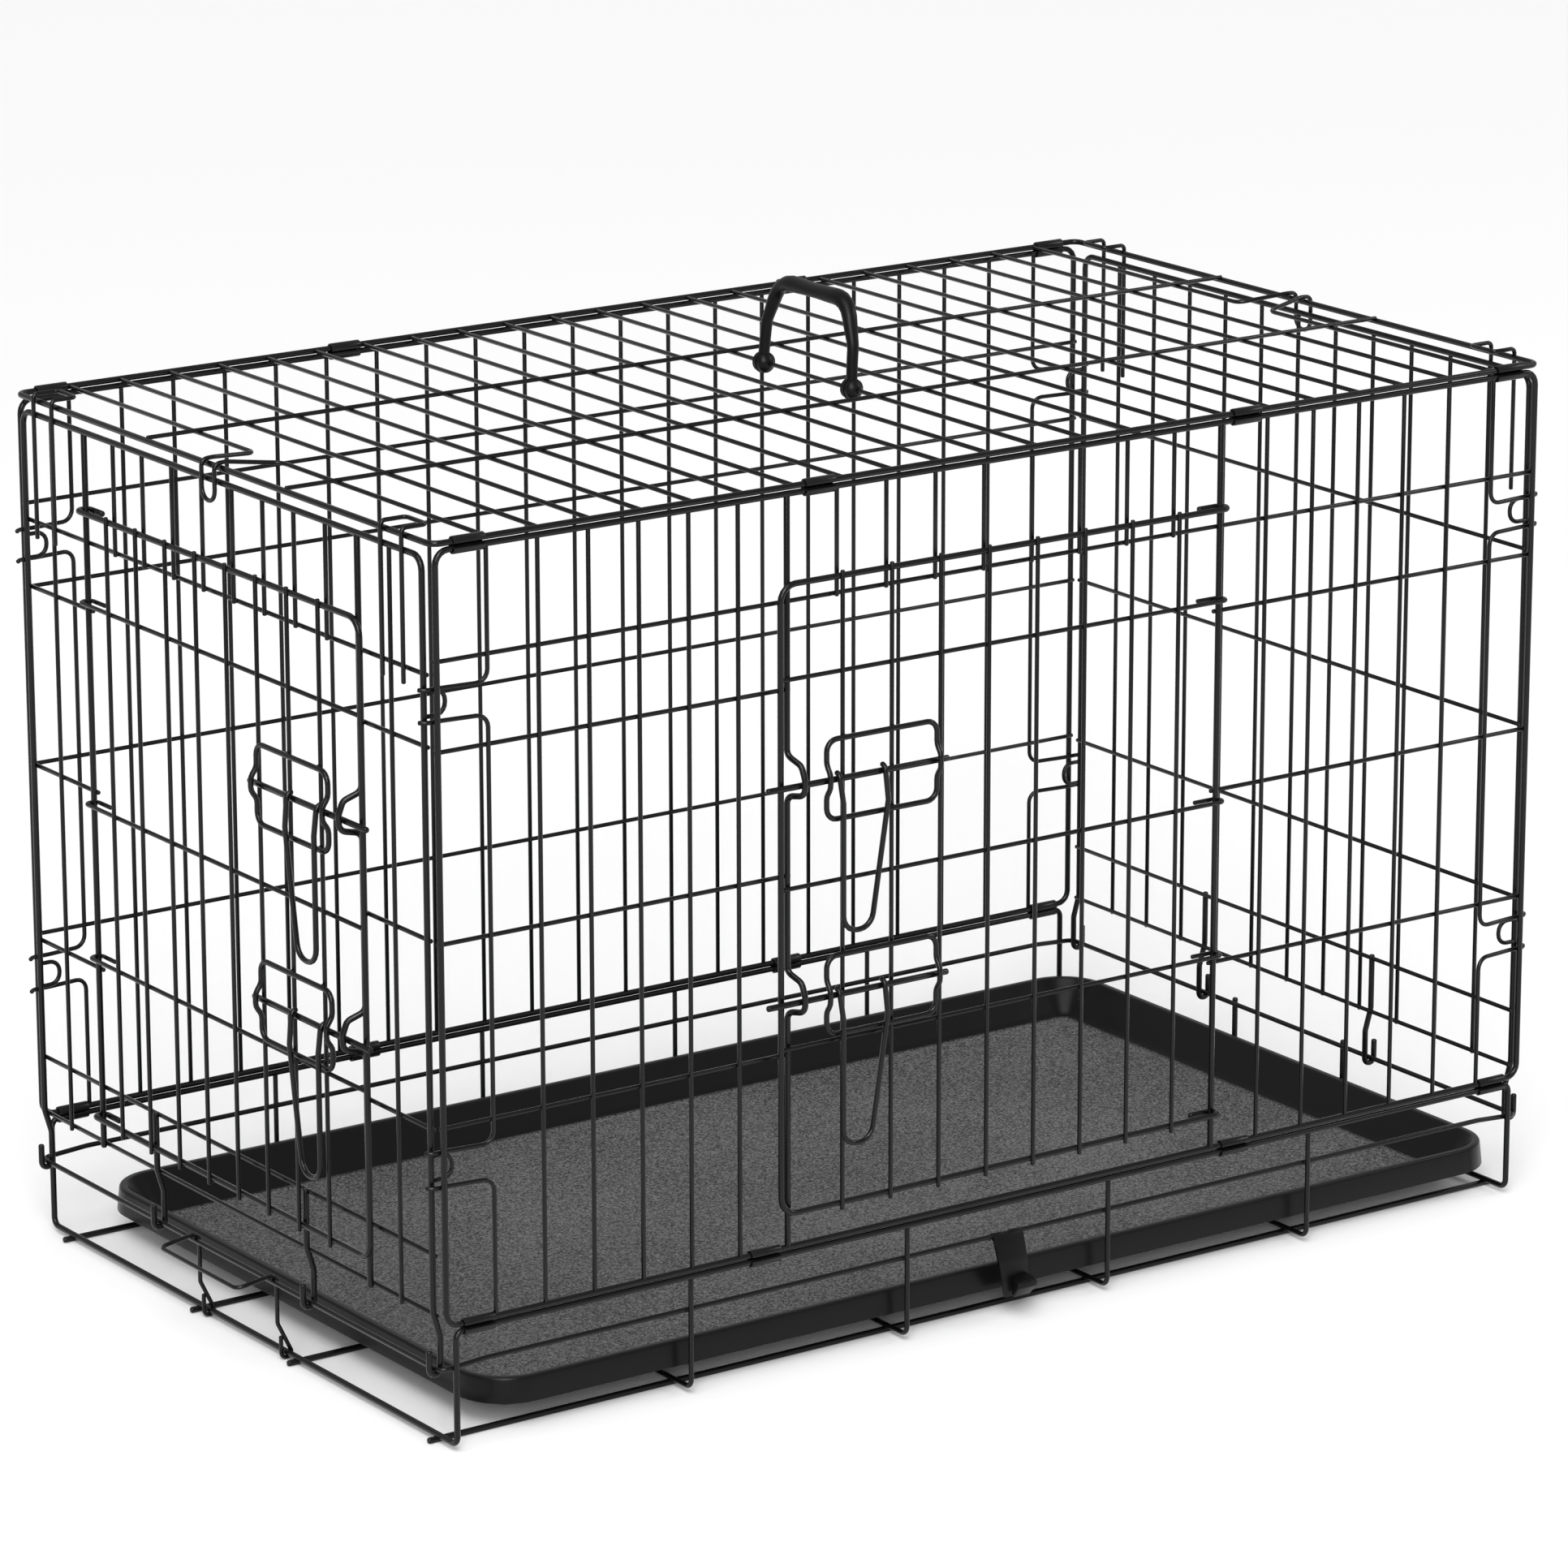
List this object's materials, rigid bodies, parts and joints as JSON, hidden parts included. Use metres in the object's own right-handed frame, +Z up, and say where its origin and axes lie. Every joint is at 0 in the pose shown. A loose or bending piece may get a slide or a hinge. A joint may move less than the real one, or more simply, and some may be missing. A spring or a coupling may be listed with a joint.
{
  "type": "folding wire dog crate",
  "caption": "Folding wire pet crate with side and end doors on slide bolts, a slide-out plastic tray behind a wire gate, and a carry handle on top.",
  "frame": {"origin": "centre of the bounding box's base, on the surface that the crate stands on", "axes": "+X along the length towards the end with no door, front long side with the door at -Y, +Z up"},
  "size_m": [0.7999, 0.4656, 0.5675],
  "materials": {
    "black_coated_wire": "satin black coated steel wire",
    "black_coated_door_wire": "satin black coated steel wire",
    "black_latch_wire": "satin black coated steel wire, a little glossier",
    "black_hinge_sheet": "satin black coated sheet steel",
    "black_tray_plastic": "matte black plastic, fine grained floor",
    "black_moulded_plastic": "semi-matte black moulded plastic"
  },
  "bodies": {
    "crate_frame": {"base_frame": "black_coated_wire", "front_panel": "black_coated_wire", "back_panel": "black_coated_wire", "top_panel": "black_coated_wire", "tray": "black_tray_plastic", "hinge_clip_front_top_1": "black_hinge_sheet", "hinge_clip_front_top_2": "black_hinge_sheet", "hinge_clip_front_top_3": "black_hinge_sheet", "hinge_clip_front_top_4": "black_hinge_sheet", "hinge_clip_front_low_1": "black_hinge_sheet", "hinge_clip_front_low_2": "black_hinge_sheet", "hinge_clip_front_low_3": "black_hinge_sheet", "hinge_clip_front_low_4": "black_hinge_sheet", "hinge_clip_back_top_1": "black_hinge_sheet", "hinge_clip_back_top_2": "black_hinge_sheet", "hinge_clip_back_top_3": "black_hinge_sheet", "hinge_clip_back_top_4": "black_hinge_sheet", "hinge_clip_back_low_1": "black_hinge_sheet", "hinge_clip_back_low_2": "black_hinge_sheet", "hinge_clip_back_low_3": "black_hinge_sheet", "hinge_clip_back_low_4": "black_hinge_sheet"},
    "left_end": {"left_end_panel": "black_coated_wire"},
    "right_end": {"right_end_panel": "black_coated_wire"},
    "front_door": {"front_door": "black_coated_door_wire", "front_upper_frame": "black_latch_wire", "front_lower_frame": "black_latch_wire"},
    "end_door": {"end_door": "black_coated_door_wire", "end_upper_frame": "black_latch_wire", "end_lower_frame": "black_latch_wire"},
    "tray_gate": {"tray_gate": "black_latch_wire"},
    "rail_clip": {"rail_clip": "black_moulded_plastic"},
    "carry_handle": {"carry_handle": "black_moulded_plastic"},
    "front_upper_bolt": {"front_upper_bolt": "black_latch_wire"},
    "front_upper_pull": {"front_upper_pull": "black_latch_wire"},
    "front_lower_bolt": {"front_lower_bolt": "black_latch_wire"},
    "front_lower_pull": {"front_lower_pull": "black_latch_wire"},
    "end_upper_bolt": {"end_upper_bolt": "black_latch_wire"},
    "end_upper_pull": {"end_upper_pull": "black_latch_wire"},
    "end_lower_bolt": {"end_lower_bolt": "black_latch_wire"},
    "end_lower_pull": {"end_lower_pull": "black_latch_wire"}
  },
  "joints": [
    {"name": "left_end_fold", "type": "hinge", "parent": "crate_frame", "child": "left_end", "pos_m": [-0.3759, 0.00588, 0.0486], "axis": [0, 1, 0], "range_deg": [0, 88]},
    {"name": "right_end_fold", "type": "hinge", "parent": "crate_frame", "child": "right_end", "pos_m": [0.3931, 0.00588, 0.0486], "axis": [0, -1, 0], "range_deg": [0, 80]},
    {"name": "front_door_swing", "type": "hinge", "parent": "crate_frame", "child": "front_door", "pos_m": [0.1556, -0.21812, 0.2776], "axis": [0, 0, 1], "range_deg": [0, 154]},
    {"name": "end_door_swing", "type": "hinge", "parent": "left_end", "child": "end_door", "pos_m": [-0.3764, 0.15088, 0.2776], "axis": [0, 0, 1], "range_deg": [-160, 0]},
    {"name": "front_upper_bolt_slide", "type": "slide", "parent": "front_door", "child": "front_upper_bolt", "axis": [1, 0, 0], "range_m": [0, 0.028]},
    {"name": "front_upper_pull_lift", "type": "hinge", "parent": "front_upper_bolt", "child": "front_upper_pull", "pos_m": [-0.1039, -0.22718, 0.3456], "axis": [-1, 0, 0], "range_deg": [0, 90]},
    {"name": "front_lower_bolt_slide", "type": "slide", "parent": "front_door", "child": "front_lower_bolt", "axis": [1, 0, 0], "range_m": [0, 0.028]},
    {"name": "front_lower_pull_lift", "type": "hinge", "parent": "front_lower_bolt", "child": "front_lower_pull", "pos_m": [-0.1039, -0.22718, 0.2206], "axis": [-1, 0, 0], "range_deg": [0, 90]},
    {"name": "end_upper_bolt_slide", "type": "slide", "parent": "end_door", "child": "end_upper_bolt", "axis": [0, 1, 0], "range_m": [0, 0.028]},
    {"name": "end_upper_pull_lift", "type": "hinge", "parent": "end_upper_bolt", "child": "end_upper_pull", "pos_m": [-0.38547, -0.10212, 0.3456], "axis": [0, 1, 0], "range_deg": [0, 90]},
    {"name": "end_lower_bolt_slide", "type": "slide", "parent": "end_door", "child": "end_lower_bolt", "axis": [0, 1, 0], "range_m": [0, 0.028]},
    {"name": "end_lower_pull_lift", "type": "hinge", "parent": "end_lower_bolt", "child": "end_lower_pull", "pos_m": [-0.38547, -0.10212, 0.2206], "axis": [0, 1, 0], "range_deg": [0, 90]},
    {"name": "tray_gate_swing", "type": "hinge", "parent": "crate_frame", "child": "tray_gate", "pos_m": [-0.3674, 0.00588, 0.0046], "axis": [0, -1, 0], "range_deg": [0, 50]},
    {"name": "rail_clip_swing", "type": "hinge", "parent": "crate_frame", "child": "rail_clip", "pos_m": [0.0086, -0.21557, 0.0506], "axis": [-1, 0, 0], "range_deg": [0, 60]},
    {"name": "carry_handle_swing", "type": "hinge", "parent": "crate_frame", "child": "carry_handle", "pos_m": [0.02524, 0.00588, 0.5135], "axis": [0, 1, 0], "range_deg": [-78, 78]}
  ]
}
